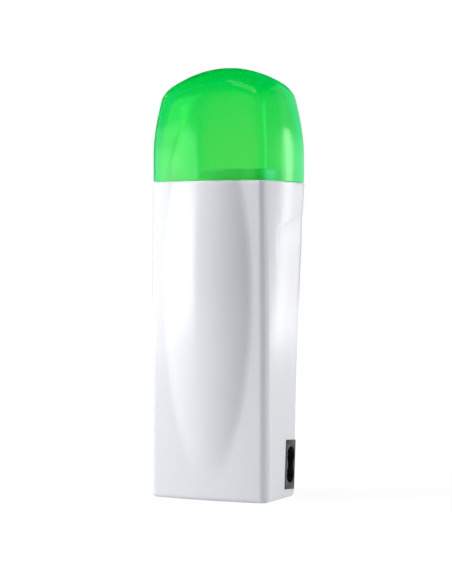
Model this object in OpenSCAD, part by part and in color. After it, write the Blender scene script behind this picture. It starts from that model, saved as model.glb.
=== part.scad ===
// Roll-on wax heater: an upright two-shell housing with a heated well for a wax cartridge,
// a translucent domed cap that lifts off, and a two-pin appliance inlet low on the right side.
// Millimetres. The origin is at the centre of the base, +Z is up and the front faces -Y.

/* [Housing] */
// Width over the side walls
body_w = 60; // [59:0.5:64]
// Height from the base to the rim that the cap stands on
body_h = 146; // [140:1:160]
// Depth at the base, from the front face to the back
base_d = 36; // [35:0.5:40]
// Depth at the rim, from the front face to the back
rim_d = 47.5; // [46.5:0.5:52]
// Bow of the front face between its corners
front_bow = 2; // [1.5:0.25:3]
// Radius of the front upright corners
front_r = 4.5; // [4:0.5:7]
// Radius of the rear upright corners
rear_r = 4.5; // [4:0.25:6]
// Rounding of the edge around the base
foot_r = 3; // [2:0.25:3.5]
// Wall of both shells
wall = 2.2; // [1.8:0.1:2.4]
// How far the parting line lies behind the front face at the base
part_base_d = 4.2; // [4:0.1:6]
// How far the parting line lies behind the front face at the rim
part_rim_d = 3.6; // [3.4:0.1:5]

/* [Tongue] */
// Rise of the tongue above the front face
tongue_rise = 4; // [3:0.25:4.5]
// Width of the tongue at its widest
tongue_w = 43; // [38:0.5:44]
// Height of the widest place
tongue_z = 93; // [85:1:100]
// Height of the lower tip
tongue_tip_z = 12.5; // [8:0.5:20]

/* [Cap] */
// Height of the cap
cap_h = 53.3; // [48:0.5:60]
// Wall of the cap
cap_wall = 1.8; // [1.4:0.1:2]
// How far the housing stands proud of the cap all round
cap_step = 0.2; // [0.1:0.05:0.6]
// Height at which the sides of the cap begin to lean in
flare_z = 15; // [10:1:18]
// Radius of the lean of the sides
flare_r = 122; // [100:2:150]
// Height at which the sides begin to turn over into the roof
turn_z = 42; // [38:0.5:44]
// Radius of the edge between the sides and the roof
edge_r = 6; // [4:0.5:7]
// Radius of the roof across the width
roof_rx = 49; // [45:1:70]
// Radius of the roof from front to back
roof_ry = 39; // [34:1:60]
// How far the top of the roof lies behind the middle of the rim
roof_shift = 2.5; // [0:0.5:6]
// Height of the neck that the cap slides over
neck_h = 5.3; // [4:0.1:7]
// Wall of the neck
neck_wall = 1.8; // [1.4:0.1:2.2]

/* [Cartridge well] */
// Distance from the side of the housing to the inside of the sleeve
well_side_gap = 6.3; // [6.1:0.1:7]
// Depth inside the sleeve
well_d = 28; // [27:0.1:28.2]
// Corner radius inside the sleeve
well_r = 8; // [6:0.5:10]
// Sheet that the sleeve is drawn from
sleeve_t = 0.8; // [0.6:0.1:1]
// Length of the sleeve below the rim
sleeve_len = 92; // [84:1:94]
// Gap between the front face and the sleeve
sleeve_front_gap = 6.4; // [6.3:0.05:6.8]
// Width of the flange that the sleeve hangs by
flange_w = 1.4; // [1:0.1:1.5]
// Thickness of the gasket under the flange
gasket_t = 0.8; // [0.5:0.1:1]

/* [Heater] */
// Distance from the rim down to the lower edge of the heat spreader
heater_drop = 42; // [38:1:43]
// Height of the heat spreader
heater_h = 26; // [22:1:28]
// Width of the heat spreader
heater_w = 42; // [40:1:44]
// Thickness of the heat spreader
spreader_t = 1.8; // [1.4:0.1:1.9]
// Width of the ceramic heating element
ptc_w = 24; // [20:1:26]
// Height of the ceramic heating element
ptc_h = 15; // [12:1:16]
// Thickness of the ceramic heating element
ptc_t = 1.6; // [1.2:0.1:1.7]
// Thickness of the two electrodes
electrode_t = 0.3; // [0.2:0.05:0.3]
// Thickness of the insulating film
film_t = 0.2; // [0.15:0.05:0.2]
// Thickness of the clamp strip
clamp_t = 0.6; // [0.5:0.1:0.6]

/* [Inlet] */
// Distance between the inlet pins
pin_pitch = 8.6; // [8:0.1:9]
// Diameter of the inlet pins
pin_d = 2.4; // [2.2:0.1:2.6]
// Height of the inlet plate
plate_h = 22.7; // [21:0.1:24]
// Width of the inlet plate
plate_w = 10.2; // [10:0.1:11]
// Height of the middle of the inlet
inlet_z = 15.4; // [15:0.1:18]
// Distance from the back of the housing to the plate
plate_back_gap = 4.4; // [4.3:0.1:5]
// How far the plate stands proud of the side wall
plate_proud = 0.3; // [0.2:0.1:0.8]

/* [Hidden] */
$fn = 64;

// Clearances
fit = 0.15;          // pieces that drop into each other
touch = 0.05;        // running fit of screws and pins
cap_gap = 0.3;       // cap to neck, all round
seat_gap = 0.2;      // cap to rim
eps = 1;             // overrun of a cut

// Outline of the housing in plan
total_d = tongue_rise + rim_d;
front_y = -total_d / 2 + tongue_rise;
back_y = front_y + base_d;
rim_back_y = front_y + rim_d;
back_lean = atan((rim_d - base_d) / body_h);
function back_at(z) = back_y + z * tan(back_lean);
front_R = (body_w * body_w / 4 + front_bow * front_bow) / (2 * front_bow);
front_cy = front_y + front_R;
corner_x = body_w / 2 - front_r;
corner_y = front_cy - sqrt(pow(front_R - front_r, 2) - corner_x * corner_x);
far_y = rim_back_y + 30;

// Tongue: a barrel that stands out of the front face
tongue_bow = tongue_w * tongue_w / 4 / (2 * front_R);
tongue_sag = tongue_rise + tongue_bow;
tongue_r = (tongue_w * tongue_w / 4 + tongue_sag * tongue_sag) / (2 * tongue_sag);
tongue_cy = front_y - tongue_rise + tongue_r;
tongue_half_h = tongue_z - tongue_tip_z;
tongue_R = (tongue_half_h * tongue_half_h + tongue_rise * tongue_rise) / (2 * tongue_rise);
function tongue_drop(z) = tongue_R - sqrt(tongue_R * tongue_R - pow(z - tongue_z, 2));

// Levels
rim_z = body_h;
deck_t = 4;
deck_z = rim_z - deck_t;
ledge_w = 1.4;
ledge_h = 2.5;
cap_z = rim_z + seat_gap;
neck_inset = cap_step + cap_wall + cap_gap + 0.05;

// Well
well_w = body_w - 2 * well_side_gap;
sleeve_z = rim_z - sleeve_len;
sleeve_w = well_w + 2 * sleeve_t;
sleeve_d = well_d + 2 * sleeve_t;
sleeve_y = front_y + sleeve_front_gap + sleeve_d / 2;
sleeve_back = sleeve_y + sleeve_d / 2;
flange_t = sleeve_t;
floor_t = 2;
floor_lip = 2;
floor_z = sleeve_z - floor_t;
shelf_w = 5;
shelf_h = 6;
shelf_d = 18;

// Heater stack, from the sleeve to the back wall
spreader_y = sleeve_back + touch;
film_y = spreader_y + spreader_t + touch;
live_y = film_y + film_t + touch;
ptc_y = live_y + electrode_t + touch;
neutral_y = ptc_y + ptc_t + touch;
stack_back = neutral_y + electrode_t + touch + film_t;
clamp_y = stack_back + touch;
heater_z = rim_z - heater_drop;
heater_mid_z = heater_z + heater_h / 2;
clamp_w = 40;
clamp_h = 9;
clamp_foot_w = 6;
clamp_foot_y = film_y;
clamp_screw_x = clamp_w / 2 - clamp_foot_w / 2;
clamp_screw_r = 1.2;
clamp_head_r = 2.1;
clamp_head_h = 1.3;
board_t = 0.8;
board_w = 44;
board_h = heater_h + 6;

// Housing screws: post of the rear shell, boss of the front shell
post_r = 3.6;
screw_r = 1.45;
screw_head_r = 2.7;
screw_head_h = 2.2;
screw_len = 14;
post_end_y = front_y + 15;
post_floor = 6;
boss_pilot = 10;
screw_spots = [[-18, 40], [18, 40], [-18, 12]];

// Inlet
inlet_y = back_at(inlet_z) - plate_back_gap - plate_w / 2;
side_x = body_w / 2;
plate_t = 1.2;
inlet_face = side_x + plate_proud;
block_w = plate_w - 1.4;
block_h = plate_h - 3;
block_back = side_x - 14;
recess_r = 4.1;
recess_d = 12;
pin_len = 9.7;
pin_root_r = pin_d / 2 - 0.2;
pin_start = inlet_face - recess_d + 0.3;
tab_len = 8;
tab_w = 4.8;
tab_t = 0.8;

// Retaining spring
spring_w = 10;
spring_t = 0.5;
spring_gap = 0.25;
spring_tab_h = 7;
spring_len = 38;
spring_set = 4;
toe_len = 5;
toe_turn = 12;
well_front = sleeve_y - well_d / 2;
spring_y = well_front + spring_gap;
spring_top_z = rim_z - 8;
rivet_z = spring_top_z - spring_tab_h / 2;
rivet_r = 1.5;
rivet_head_h = 0.7;
rivet_rim = 1;

// Colours
shell_white = "#f2f3f7";
cap_green = "#3fd955";
alu = "#c9ccd1";
black = "#26282b";
brass = "#c9a85a";
steel = "#b3b7bd";
silicone = "#d9dde0";
floor_cream = "#e8e6df";
ceramic = "#8b5a3c";
film_amber = "#c98a2b";
mica = "#d8cfae";
boot_cream = "#e9e4d4";
live_brown = "#7a4a2a";
neutral_blue = "#3a5fa8";
nylon = "#f0f0ec";
label_grey = "#dfe2e6";

// ---------- outlines in plan ----------

// Front face and side walls, open towards the back
module front_plan(inset) {
    r = front_r - inset;
    half = body_w / 2 - inset;
    tangent_x = corner_x / (front_R - front_r) * (front_R - inset);
    intersection() {
        translate([0, front_cy]) circle(front_R - inset, $fn = 200);
        translate([-tangent_x, front_y - eps]) square([2 * tangent_x, far_y - front_y + eps]);
    }
    for (s = [-1, 1]) translate([s * corner_x, corner_y]) circle(r);
    translate([-half, corner_y]) square([2 * half, far_y - corner_y]);
}

// Back wall with its rounded corners, open towards the front; y = 0 is the back
module back_plan(inset) {
    r = rear_r - inset;
    half = body_w / 2 - inset;
    reach = 90;
    for (s = [-1, 1]) translate([s * (body_w / 2 - rear_r), -rear_r]) circle(r);
    translate([-half, -reach]) square([2 * half, reach - rear_r]);
    translate([-(body_w / 2 - rear_r), -reach]) square([body_w - 2 * rear_r, reach - inset]);
}

// Barrel of the tongue
module tongue_barrel(inset) {
    translate([0, tongue_cy, 0]) rotate_extrude($fn = 200) intersection() {
        translate([tongue_r - tongue_R, tongue_z]) circle(tongue_R - inset, $fn = 400);
        translate([0, -eps]) square([tongue_r + eps, body_h + 2 * eps]);
    }
}

// Round-cornered bar for the two roundings of the base
module foot_profile(half_w) {
    high = body_h + 2 * eps;
    translate([-half_w, foot_r]) square([2 * half_w, high]);
    translate([-half_w + foot_r, 0]) square([2 * (half_w - foot_r), high]);
    for (s = [-1, 1]) translate([s * (half_w - foot_r), foot_r]) circle(foot_r);
}

// The solid form of the housing between two levels, or of its hollow where inset is the wall
module housing_form(inset, z0, z1) {
    tongue_box_w = tongue_w + 2 * tongue_rise;
    intersection() {
        translate([0, 0, z0]) linear_extrude(z1 - z0) front_plan(inset);
        translate([0, back_y, 0]) rotate([-back_lean, 0, 0]) translate([0, 0, -30])
            linear_extrude(body_h + 60) back_plan(inset);
        if (inset == 0) foot_form();
    }
    intersection() {
        tongue_barrel(inset);
        translate([-tongue_box_w / 2, front_y - 2 * tongue_rise, z0])
            cube([tongue_box_w, 4 * tongue_rise, z1 - z0]);
    }
}

// Rounds the base along the sides
module foot_form() {
    translate([0, far_y, 0]) rotate([90, 0, 0]) linear_extrude(2 * far_y)
        foot_profile(body_w / 2);
}

// Everything in front of the parting plane, or behind it
part_lean = atan((part_base_d - part_rim_d) / body_h);
module part_block(front) {
    big = 200;
    translate([0, front_y + part_base_d, 0]) rotate([part_lean, 0, 0])
        translate([-big / 2, front ? -big : 0, -big / 2]) cube([big, big, 2 * big]);
}

// Both shells together, hollow, with the ledge that carries the neck collar
module housing_walls() {
    ledge_z = deck_z - ledge_h;
    overlap = 0.5;
    difference() {
        housing_form(0, 0, rim_z);
        housing_form(wall, wall, ledge_z);
        housing_form(wall + ledge_w, ledge_z - overlap, deck_z + overlap);
        housing_form(wall, deck_z, rim_z + eps);
    }
}

module y_cylinder(r, y0, y1) {
    translate([0, y1, 0]) rotate([90, 0, 0]) cylinder(h = y1 - y0, r = r);
}

// ---------- shells ----------

module front_shell() {
    color(shell_white) difference() {
        union() {
            intersection() {
                housing_walls();
                part_block(true);
            }
            for (p = screw_spots) translate([p[0], 0, p[1]])
                y_cylinder(post_r, front_y + 0.75 * wall, post_end_y - touch);
        }
        for (p = screw_spots) translate([p[0], 0, p[1]])
            y_cylinder(screw_r + touch, post_end_y - boss_pilot, post_end_y + eps);
    }
}

// Plain rectangular block on the side wall, leaning with the back, for the inlet and its cut
module inlet_block(w, h, x0, x1) {
    translate([0, inlet_y, inlet_z]) rotate([-back_lean, 0, 0])
        translate([x0, -w / 2, -h / 2]) cube([x1 - x0, w, h]);
}

module rear_shell() {
    color(shell_white) difference() {
        union() {
            intersection() {
                housing_walls();
                part_block(false);
            }
            for (p = screw_spots) translate([p[0], 0, p[1]])
                y_cylinder(post_r, post_end_y, back_at(p[1]) - wall / 2);
            for (s = [-1, 1])
                translate([s * (body_w / 2 - wall - shelf_w / 2 + eps / 2), sleeve_y, floor_z - shelf_h / 2])
                    cube([shelf_w + eps, shelf_d, shelf_h], center = true);
        }
        for (p = screw_spots) translate([p[0], 0, p[1]]) {
            y_cylinder(screw_r + touch, post_end_y - eps, far_y);
            y_cylinder(screw_head_r + touch, post_end_y + post_floor, far_y);
        }
        inlet_block(block_w + 2 * touch, block_h + 2 * touch, side_x - 3 * wall, side_x + eps);
        inlet_block(plate_w + 2 * touch, plate_h + 2 * touch, side_x - plate_t, side_x + eps);
    }
}

// ---------- neck, cap ----------

// Level outline with its points in order, for the neck and the cap; soft adds to its corner radii
front_n = 22;
bend_n = 5;
back_n = 8;
min_r = 2;
function front_at(x, inset, z) = min(
    front_cy - sqrt(pow(front_R - inset, 2) - x * x),
    tongue_cy - sqrt(max(0, pow(tongue_r - tongue_drop(z) - inset, 2) - x * x)));
function outline(inset, soft, back, z) = let (
    arc_r = front_R - inset,
    half = body_w / 2 - inset,
    rf = max(min_r, front_r + soft - inset),
    rb = max(min_r, rear_r + soft - inset),
    fx = half - rf,
    fy = front_cy - sqrt(pow(arc_r - rf, 2) - fx * fx),
    t0 = asin(fx / (arc_r - rf)),
    tx = arc_r * sin(t0),
    bx = half - rb,
    by = back - inset - rb,
    right = concat(
        [for (i = [1 : bend_n]) let (t = t0 + (90 - t0) * i / bend_n) [fx + rf * sin(t), fy - rf * cos(t)]],
        [for (i = [1 : 3]) [half, fy + (by - fy) * i / 4]],
        [for (i = [0 : bend_n]) [bx + rb * cos(90 * i / bend_n), by + rb * sin(90 * i / bend_n)]])
) concat(
    [for (i = [0 : front_n]) let (x = -tx + 2 * tx * i / front_n) [x, front_at(x, inset, z)]],
    right,
    [for (i = [1 : back_n - 1]) [bx - 2 * bx * i / back_n, back - inset]],
    [for (i = [len(right) - 1 : -1 : 0]) [-right[i][0], right[i][1]]]);

// Deck that closes the housing round the well, with the neck that the cap slides over
module neck_collar() {
    deck_back = back_at(deck_z);
    neck_top = rim_z + neck_h;
    color(shell_white) difference() {
        union() {
            translate([0, 0, deck_z]) linear_extrude(deck_t)
                polygon(outline(wall + 2 * fit, 0, deck_back, rim_z));
            translate([0, 0, deck_z]) linear_extrude(deck_t + neck_h)
                polygon(outline(neck_inset, 0, deck_back, neck_top));
        }
        translate([0, 0, rim_z]) linear_extrude(neck_h + eps)
            polygon(outline(neck_inset + neck_wall, 0, deck_back, neck_top));
        translate([0, sleeve_y, deck_z - eps]) linear_extrude(deck_t + 2 * eps)
            rounded_plan(sleeve_w + 2 * fit, sleeve_d + 2 * fit, well_r + sleeve_t + fit);
        translate([0, sleeve_y, rim_z - flange_t - gasket_t]) linear_extrude(flange_t + gasket_t + eps)
            rounded_plan(sleeve_w + 2 * (flange_w + fit), sleeve_d + 2 * (flange_w + fit),
                well_r + sleeve_t + flange_w + fit);
    }
}

// The cap: rings of the outline that lean in, turn over an edge and close over a domed roof
side_steps = 8;
edge_steps = 5;
roof_steps = 6;
roof_y = (front_y + rim_back_y) / 2 + roof_shift;
corner_softening = 0.8;
function flare(h) = h < flare_z ? 0 : pow(h - flare_z, 2) / (2 * flare_r);
edge_a0 = atan((turn_z - flare_z) / flare_r);
edge_top = turn_z + edge_r * (1 - sin(edge_a0));
edge_inset = flare(turn_z) + edge_r * cos(edge_a0);
// Rings as [height as a share of the roof's, inset, share of the plan]
rings = concat(
    [for (i = [0 : side_steps]) let (h = turn_z * i / side_steps) [h / edge_top, flare(h), 1]],
    [for (i = [1 : edge_steps]) let (t = edge_a0 + (90 - edge_a0) * i / edge_steps)
        [(turn_z + edge_r * (sin(t) - sin(edge_a0))) / edge_top,
            flare(turn_z) + edge_r * (cos(edge_a0) - cos(t)), 1]],
    [for (i = [1 : roof_steps]) [1, edge_inset, 1 - i / (roof_steps + 1)]]);
function roof(x, y) = cap_h - seat_gap - x * x / (2 * roof_rx) - pow(y - roof_y, 2) / (2 * roof_ry);
function cap_ring(ring, skin) = [
    for (p = outline(ring[1] + cap_step + skin, corner_softening * ring[1], rim_back_y, rim_z + ring[0] * edge_top))
        let (x = p[0] * ring[2], y = roof_y + (p[1] - roof_y) * ring[2])
            [x, y, cap_z + ring[0] * (roof(x, y) - skin)]];

module cap() {
    n = len(outline(0, 0, rim_back_y, rim_z));
    m = len(rings);
    outer = [for (ring = rings) each cap_ring(ring, 0)];
    inner = [for (ring = rings) each cap_ring(ring, cap_wall)];
    top = [0, roof_y, cap_z + roof(0, roof_y)];
    low = [0, roof_y, cap_z + roof(0, roof_y) - cap_wall];
    shift = n * m;
    color(cap_green) polyhedron(
        points = concat(outer, inner, [top, low]),
        faces = concat(
            [for (j = [0 : m - 2], i = [0 : n - 1]) let (k = (i + 1) % n)
                each [[j * n + i, (j + 1) * n + k, j * n + k], [j * n + i, (j + 1) * n + i, (j + 1) * n + k]]],
            [for (j = [0 : m - 2], i = [0 : n - 1]) let (k = (i + 1) % n)
                each [[shift + j * n + i, shift + j * n + k, shift + (j + 1) * n + k],
                    [shift + j * n + i, shift + (j + 1) * n + k, shift + (j + 1) * n + i]]],
            [for (i = [0 : n - 1]) let (k = (i + 1) % n)
                [(m - 1) * n + i, 2 * shift, (m - 1) * n + k]],
            [for (i = [0 : n - 1]) let (k = (i + 1) % n)
                [shift + (m - 1) * n + i, shift + (m - 1) * n + k, 2 * shift + 1]],
            [for (i = [0 : n - 1]) let (k = (i + 1) % n)
                each [[i, k, shift + k], [i, shift + k, shift + i]]]));
}

// ---------- cartridge well ----------

module rounded_plan(w, d, r) {
    square([w, d - 2 * r], center = true);
    square([w - 2 * r, d], center = true);
    for (sx = [-1, 1], sy = [-1, 1]) translate([sx * (w / 2 - r), sy * (d / 2 - r)]) circle(r);
}

module cartridge_sleeve() {
    top = rim_z;
    color(alu) translate([0, sleeve_y, 0]) difference() {
        union() {
            translate([0, 0, sleeve_z]) linear_extrude(top - sleeve_z)
                rounded_plan(sleeve_w, sleeve_d, well_r + sleeve_t);
            translate([0, 0, top - flange_t]) linear_extrude(flange_t)
                rounded_plan(sleeve_w + 2 * flange_w, sleeve_d + 2 * flange_w, well_r + sleeve_t + flange_w);
        }
        translate([0, 0, sleeve_z - eps]) linear_extrude(top - sleeve_z + 2 * eps)
            rounded_plan(well_w, well_d, well_r);
        translate([0, -well_d / 2, rivet_z]) y_cylinder(rivet_r + touch, -2 * sleeve_t, sleeve_t);
    }
}

module sleeve_gasket() {
    color(silicone) translate([0, sleeve_y, rim_z - flange_t - gasket_t]) difference() {
        linear_extrude(gasket_t)
            rounded_plan(sleeve_w + 2 * flange_w, sleeve_d + 2 * flange_w, well_r + sleeve_t + flange_w);
        translate([0, 0, -eps]) linear_extrude(gasket_t + 2 * eps)
            rounded_plan(sleeve_w + 2 * fit, sleeve_d + 2 * fit, well_r + sleeve_t + fit);
    }
}

module well_floor() {
    color(floor_cream) translate([0, sleeve_y, floor_z]) union() {
        linear_extrude(floor_t) rounded_plan(sleeve_w, sleeve_d, well_r + sleeve_t);
        linear_extrude(floor_t + floor_lip)
            rounded_plan(well_w - 2 * fit, well_d - 2 * fit, well_r - fit);
    }
}

// Leaf that presses the cartridge against the heated wall, with a toe that lets it slide past
function leaf_dir(a) = [sin(a), -cos(a)];
function leaf_side(a) = [cos(a), sin(a)];
function leaf_mitre(a, b) = (leaf_side(a) + leaf_side(b)) / (1 + leaf_side(a) * leaf_side(b));
module retaining_spring() {
    toe_set = spring_set - toe_turn;
    top = [0, spring_top_z];
    bend = [0, spring_top_z - spring_tab_h];
    heel = bend + spring_len * leaf_dir(spring_set);
    toe = heel + toe_len * leaf_dir(toe_set);
    color(steel) difference() {
        translate([-spring_w / 2, spring_y, 0]) rotate([90, 0, 90]) linear_extrude(spring_w) polygon([
            top, bend, heel, toe,
            toe + spring_t * leaf_side(toe_set),
            heel + spring_t * leaf_mitre(spring_set, toe_set),
            bend + spring_t * leaf_mitre(0, spring_set),
            top + spring_t * leaf_side(0)
        ]);
        translate([0, 0, rivet_z]) y_cylinder(rivet_r + fit, spring_y - eps, spring_y + spring_t + eps);
    }
}

module spring_rivet() {
    back_face = well_front - sleeve_t;
    head_face = spring_y + spring_t + spring_gap;
    color(steel) translate([0, 0, rivet_z]) {
        y_cylinder(rivet_r, back_face - rivet_head_h, head_face + rivet_head_h);
        y_cylinder(rivet_r + rivet_rim, back_face - rivet_head_h, back_face);
        y_cylinder(rivet_r + rivet_rim, head_face, head_face + rivet_head_h);
    }
}

// ---------- heater ----------

module heat_spreader() {
    color(alu) difference() {
        translate([-heater_w / 2, spreader_y, heater_z]) cube([heater_w, spreader_t, heater_h]);
        for (s = [-1, 1]) translate([s * clamp_screw_x, 0, heater_mid_z])
            y_cylinder(clamp_screw_r + touch, spreader_y - eps, spreader_y + spreader_t + eps);
    }
}

module ptc_element() {
    color(ceramic) translate([-ptc_w / 2, ptc_y, heater_mid_z - ptc_h / 2]) cube([ptc_w, ptc_t, ptc_h]);
}

// Electrode plate with a tab that stands down for its wire
lug_x = 8;
lug_w = 4;
lug_h = 7;
module electrode(y, side) {
    low = heater_mid_z - ptc_h / 2;
    color(brass) union() {
        translate([-ptc_w / 2, y, low]) cube([ptc_w, electrode_t, ptc_h]);
        translate([side * lug_x - lug_w / 2, y, low - lug_h]) cube([lug_w, electrode_t, lug_h + eps / 2]);
    }
}
module electrode_live() { electrode(live_y, -1); }
module electrode_neutral() { electrode(neutral_y, 1); }

// Film folded once round the element and its electrodes
module insulating_film() {
    lap = 0.5;
    h = ptc_h + 3 * lap;
    inner_w = ptc_w + 2 * touch;
    outer_w = inner_w + 2 * film_t;
    depth = stack_back - film_y;
    color(film_amber) translate([0, film_y, heater_mid_z - ptc_h / 2 - lap]) difference() {
        translate([-outer_w / 2, 0, 0]) cube([outer_w, depth, h]);
        translate([-inner_w / 2, film_t, -eps]) cube([inner_w, depth - 2 * film_t, h + 2 * eps]);
    }
}

// Strip over the stack with a stepped foot at each end
module heater_clamp() {
    bridge_w = ptc_w + 4;
    color(steel) difference() {
        translate([0, 0, heater_mid_z - clamp_h / 2]) union() {
            translate([-bridge_w / 2, clamp_y, 0]) cube([bridge_w, clamp_t, clamp_h]);
            for (s = [-1, 1]) {
                translate([s * (bridge_w / 2 - clamp_t / 2) - clamp_t / 2, clamp_foot_y, 0])
                    cube([clamp_t, clamp_y - clamp_foot_y + clamp_t, clamp_h]);
                translate([s > 0 ? bridge_w / 2 - clamp_t : -clamp_w / 2, clamp_foot_y, 0])
                    cube([clamp_w / 2 - bridge_w / 2 + clamp_t, clamp_t, clamp_h]);
            }
        }
        for (s = [-1, 1]) translate([s * clamp_screw_x, 0, heater_mid_z])
            y_cylinder(clamp_screw_r + touch, clamp_foot_y - eps, clamp_foot_y + clamp_t + eps);
    }
}

module clamp_screws() {
    slot = 0.6;
    head_y = clamp_foot_y + clamp_t + touch;
    color(steel) for (s = [-1, 1]) translate([s * clamp_screw_x, 0, heater_mid_z]) difference() {
        union() {
            y_cylinder(clamp_screw_r, spreader_y + fit, head_y + clamp_head_h);
            y_cylinder(clamp_head_r, head_y, head_y + clamp_head_h);
        }
        translate([-clamp_head_r, head_y + clamp_head_h - slot, -slot / 2])
            cube([2 * clamp_head_r, slot + eps, slot]);
    }
}

// Board on the back wall that keeps the heat off it
module insulation_board() {
    color(mica) translate([0, back_y, 0]) rotate([-back_lean, 0, 0])
        translate([-board_w / 2, -wall - touch - board_t, heater_z]) cube([board_w, board_t, board_h]);
}

// ---------- wiring ----------

// Round wire along its points, eight-sided
function unit(v) = v / norm(v);
function path_dir(p, i) = unit(p[min(i + 1, len(p) - 1)] - p[max(i - 1, 0)]);
function wire_ring(p, i, r) = let (
    d = path_dir(p, i),
    a = unit(cross(d, abs(d[2]) < 0.8 ? [0, 0, 1] : [1, 0, 0])),
    b = cross(d, a)
) [for (k = [0 : 7]) p[i] + r * (cos(45 * k) * a + sin(45 * k) * b)];
// Points eased between the hand-set ones
function eased(p, n) = [for (i = [0 : len(p) - 2], k = [0 : n - 1]) let (
    t = k / n,
    a = p[max(i - 1, 0)], b = p[i], c = p[i + 1], d = p[min(i + 2, len(p) - 1)]
) 0.5 * (2 * b + (c - a) * t + (2 * a - 5 * b + 4 * c - d) * t * t + (3 * b - a - 3 * c + d) * t * t * t)];
module wire(points, r) {
    p = concat(eased(points, 4), [points[len(points) - 1]]);
    m = len(p);
    polyhedron(
        points = [for (i = [0 : m - 1]) each wire_ring(p, i, r)],
        faces = concat(
            [[for (k = [0 : 7]) k]],
            [for (i = [0 : m - 2], k = [0 : 7]) let (q = (k + 1) % 8)
                each [[i * 8 + k, (i + 1) * 8 + q, i * 8 + q], [i * 8 + k, (i + 1) * 8 + k, (i + 1) * 8 + q]]],
            [[for (k = [7 : -1 : 0]) (m - 1) * 8 + k]]));
}

wire_r = 0.65;
tab_x = block_back - tab_len;
crimp_len = 4;
fuse_z = heater_z - 12;
fuse_len = 12;
fuse_r = 1.7;
fuse_x = -10;
fuse_lead = 3;
fuse_end_x = fuse_x + fuse_len + fuse_lead;
tie_z = sleeve_z + 18;
live_x = 12;
neutral_x = 14.5;
// Middle of the gap between the sleeve and the back wall
function lane(z) = (sleeve_back + back_at(z) - wall) / 2;
// End of an inlet tab, at x, on the upper side (1) or the lower side (-1)
function tab_at(x, side) = [x, inlet_y + side * pin_pitch / 2 * sin(back_lean),
    inlet_z + side * pin_pitch / 2 * cos(back_lean)];
live_tab = [-lug_x, live_y + electrode_t / 2, heater_mid_z - ptc_h / 2 - lug_h];
neutral_tab = [lug_x, neutral_y + electrode_t / 2, heater_mid_z - ptc_h / 2 - lug_h];

module inlet_pin_row(x0, x1, r) {
    translate([0, inlet_y, inlet_z]) rotate([-back_lean, 0, 0])
        for (s = [-1, 1]) translate([x0, 0, s * pin_pitch / 2]) rotate([0, 90, 0]) cylinder(h = x1 - x0, r = r);
}

module inlet_body() {
    color(black) difference() {
        union() {
            inlet_block(plate_w, plate_h, side_x - plate_t + touch, inlet_face);
            inlet_block(block_w, block_h, block_back, side_x);
        }
        inlet_pin_row(inlet_face - recess_d, inlet_face + eps, recess_r);
        inlet_block(1.5 * recess_r, pin_pitch, inlet_face - recess_d, inlet_face + eps);
        inlet_pin_row(block_back - eps, inlet_face, pin_root_r + touch);
    }
}

module inlet_pins() {
    color(steel) union() {
        inlet_pin_row(block_back, pin_start + pin_len / 2, pin_root_r);
        inlet_pin_row(pin_start, pin_start + pin_len, pin_d / 2);
        translate([0, inlet_y, inlet_z]) rotate([-back_lean, 0, 0])
            for (s = [-1, 1]) translate([tab_x, -tab_w / 2, s * pin_pitch / 2 - tab_t / 2])
                cube([tab_len, tab_w, tab_t]);
    }
}

module tab_sleeves() {
    boot_len = 10;
    boot_w = tab_w + 1.6;
    boot_h = 3.2;
    color(boot_cream) translate([0, inlet_y, inlet_z]) rotate([-back_lean, 0, 0])
        for (s = [-1, 1]) translate([tab_x - crimp_len, 0, s * pin_pitch / 2]) difference() {
            translate([0, -boot_w / 2, -boot_h / 2]) cube([boot_len, boot_w, boot_h]);
            translate([crimp_len - touch, -tab_w / 2 - touch, -tab_t / 2 - touch])
                cube([boot_len, tab_w + 2 * touch, tab_t + 2 * touch]);
            translate([-eps, 0, 0]) rotate([0, 90, 0]) cylinder(h = crimp_len + eps, r = wire_r + touch);
        }
}

module thermal_fuse() {
    lead_r = 0.5;
    color(steel) translate([fuse_x, lane(fuse_z), fuse_z]) rotate([0, 90, 0]) union() {
        cylinder(h = fuse_len, r = fuse_r);
        translate([0, 0, -fuse_lead]) cylinder(h = fuse_len + 2 * fuse_lead, r = lead_r);
    }
}

module fuse_sleeve() {
    over = 1;
    sleeving = 0.5;
    tube_len = fuse_len + 2 * over;
    color(boot_cream) translate([fuse_x - over, lane(fuse_z), fuse_z]) rotate([0, 90, 0]) difference() {
        cylinder(h = tube_len, r = fuse_r + sleeving);
        translate([0, 0, -eps]) cylinder(h = tube_len + 2 * eps, r = fuse_r + touch);
    }
}

module wire_live() {
    color(live_brown) wire([
        tab_at(tab_x - 0.2, 1), tab_at(tab_x - crimp_len - 0.2, 1), tab_at(tab_x - crimp_len - 1.2, 1),
        tab_at(tab_x - crimp_len - 3.5, 1) + [0, 2, 5], [4, inlet_y + 4.5, inlet_z + 19],
        [live_x - 2, sleeve_back - 1.5, floor_z - 8], [live_x, lane(floor_z), floor_z],
        [live_x, lane(floor_z + 8), floor_z + 8], [live_x, lane(tie_z), tie_z],
        [live_x, lane(fuse_z - 14), fuse_z - 14], [live_x - 1, lane(fuse_z - 5), fuse_z - 5],
        [fuse_end_x + 3, lane(fuse_z), fuse_z], [fuse_end_x + 1, lane(fuse_z), fuse_z],
        [fuse_end_x + touch, lane(fuse_z), fuse_z]
    ], wire_r);
}

module wire_fused() {
    color(live_brown) wire([
        [fuse_x - fuse_lead - touch, lane(fuse_z), fuse_z], [fuse_x - fuse_lead - 1, lane(fuse_z), fuse_z],
        [fuse_x - fuse_lead - 2.5, lane(fuse_z), fuse_z], [-lug_x - 7, lane(heater_z - 7), heater_z - 7],
        live_tab + [-3, 0.6, -6], live_tab + [0, 0, -3], live_tab + [0, 0, -1], live_tab + [0, 0, -touch]
    ], wire_r);
}

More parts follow.
